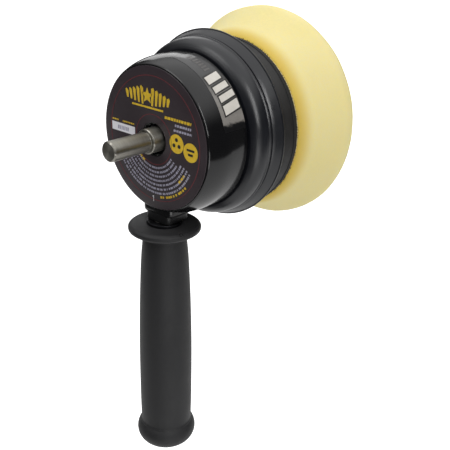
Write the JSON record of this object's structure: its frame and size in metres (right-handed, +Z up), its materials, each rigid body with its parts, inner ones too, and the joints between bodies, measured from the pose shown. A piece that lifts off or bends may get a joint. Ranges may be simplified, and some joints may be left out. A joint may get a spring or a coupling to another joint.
{
  "type": "dual action polisher",
  "caption": "Drill-driven dual action polisher head: a round shank turns an eccentric that orbits a free-spinning foam pad, steadied by a screw-in side handle.",
  "frame": {"origin": "centre of the shank's end face", "axes": "+Y along the drive axis from the shank to the foam pad, +Z up from the side handle towards the barrel, +X towards the side that the pad's orbit offset points to at rest"},
  "size_m": [0.1098, 0.1122, 0.2299],
  "materials": {
    "ground_steel": "satin ground",
    "bearing_steel": "bright",
    "black_steel": "black oxide",
    "zinc_steel": "zinc plated",
    "cast_iron": "rough cast",
    "cage_nylon": "moulded",
    "seal_rubber": "matte",
    "housing_gloss": "gloss",
    "label_film": "satin film",
    "band_film": "metallic film",
    "skirt_rubber": "satin",
    "plate_resin": "moulded",
    "cushion_rubber": "matte",
    "hook_nylon": "hook pile",
    "loop_cloth": "brushed loop",
    "cream_foam": "open cell foam",
    "grip_rubber": "soft matte",
    "core_resin": "moulded"
  },
  "bodies": {
    "drive": {"drive_shaft": "ground_steel", "shaft_circlip": "black_steel", "rear_bearing_inner_race": "bearing_steel", "front_bearing_inner_race": "bearing_steel", "inner_race_spacer": "zinc_steel", "shaft_key": "zinc_steel", "eccentric_head": "black_steel", "head_set_screw": "black_steel", "counterweight": "cast_iron", "counterweight_screw_1": "black_steel", "counterweight_screw_2": "black_steel", "spindle_bearing_outer_race": "bearing_steel", "spindle_bearing_seal": "seal_rubber", "head_circlip": "black_steel"},
    "housing": {"housing_shell": "housing_gloss", "rear_label": "label_film", "barrel_label": "band_film", "skirt": "skirt_rubber", "skirt_clamp_ring": "zinc_steel", "skirt_screw_1": "black_steel", "skirt_screw_2": "black_steel", "skirt_screw_3": "black_steel", "skirt_screw_4": "black_steel", "skirt_screw_5": "black_steel", "skirt_screw_6": "black_steel", "rear_bearing_outer_race": "bearing_steel", "rear_bearing_seal": "seal_rubber", "front_bearing_outer_race": "bearing_steel", "front_bearing_seal": "seal_rubber", "outer_race_spacer": "zinc_steel", "hub_circlip": "black_steel", "handle_insert": "zinc_steel"},
    "rear_cage": {"rear_bearing_cage": "cage_nylon"},
    "front_cage": {"front_bearing_cage": "cage_nylon"},
    "spindle_cage": {"spindle_bearing_cage": "cage_nylon"},
    "spindle": {"orbit_spindle": "ground_steel", "spindle_bearing_inner_race": "bearing_steel", "spindle_snap_ring": "black_steel", "backing_plate": "plate_resin", "plate_cushion": "cushion_rubber", "hook_disc": "hook_nylon", "plate_washer": "zinc_steel", "plate_screw": "black_steel"},
    "pad": {"loop_disc": "loop_cloth", "foam_pad": "cream_foam"},
    "washer": {"handle_washer": "black_steel"},
    "handle": {"handle_grip": "grip_rubber", "handle_core": "core_resin", "handle_stud": "zinc_steel"}
  },
  "joints": [
    {"name": "drive_spin", "type": "hinge", "parent": "drive", "child": "housing", "pos_m": [0, 0.0452, 0], "axis": [0, 1, 0], "continuous": true},
    {"name": "rear_cage_spin", "type": "hinge", "parent": "drive", "child": "rear_cage", "pos_m": [0, 0.0352, 0], "axis": [0, 1, 0], "continuous": true},
    {"name": "front_cage_spin", "type": "hinge", "parent": "drive", "child": "front_cage", "pos_m": [0, 0.0452, 0], "axis": [0, 1, 0], "continuous": true},
    {"name": "pad_spin", "type": "hinge", "parent": "drive", "child": "spindle", "pos_m": [0.003, 0.0652, 0], "axis": [0, 1, 0], "continuous": true},
    {"name": "spindle_cage_spin", "type": "hinge", "parent": "drive", "child": "spindle_cage", "pos_m": [0.003, 0.0652, 0], "axis": [0, 1, 0], "continuous": true},
    {"name": "pad_pull_off", "type": "slide", "parent": "spindle", "child": "pad", "axis": [0, 1, 0], "range_m": [0, 0.04]},
    {"name": "handle_travel", "type": "slide", "parent": "housing", "child": "washer", "axis": [0, 0, -1], "range_m": [0, 0.0102]},
    {"name": "handle_turn", "type": "hinge", "parent": "washer", "child": "handle", "pos_m": [0, 0.03393, -0.0439], "axis": [0, 0, -1], "range_deg": [0, 2880]}
  ],
  "couplings": [
    {"joint": "rear_cage_spin", "follows": "drive_spin", "ratio": 0.619},
    {"joint": "front_cage_spin", "follows": "drive_spin", "ratio": 0.619},
    {"joint": "spindle_cage_spin", "follows": "pad_spin", "ratio": 0.3678},
    {"joint": "handle_travel", "follows": "handle_turn", "m_per_rad": 0.00019894}
  ]
}
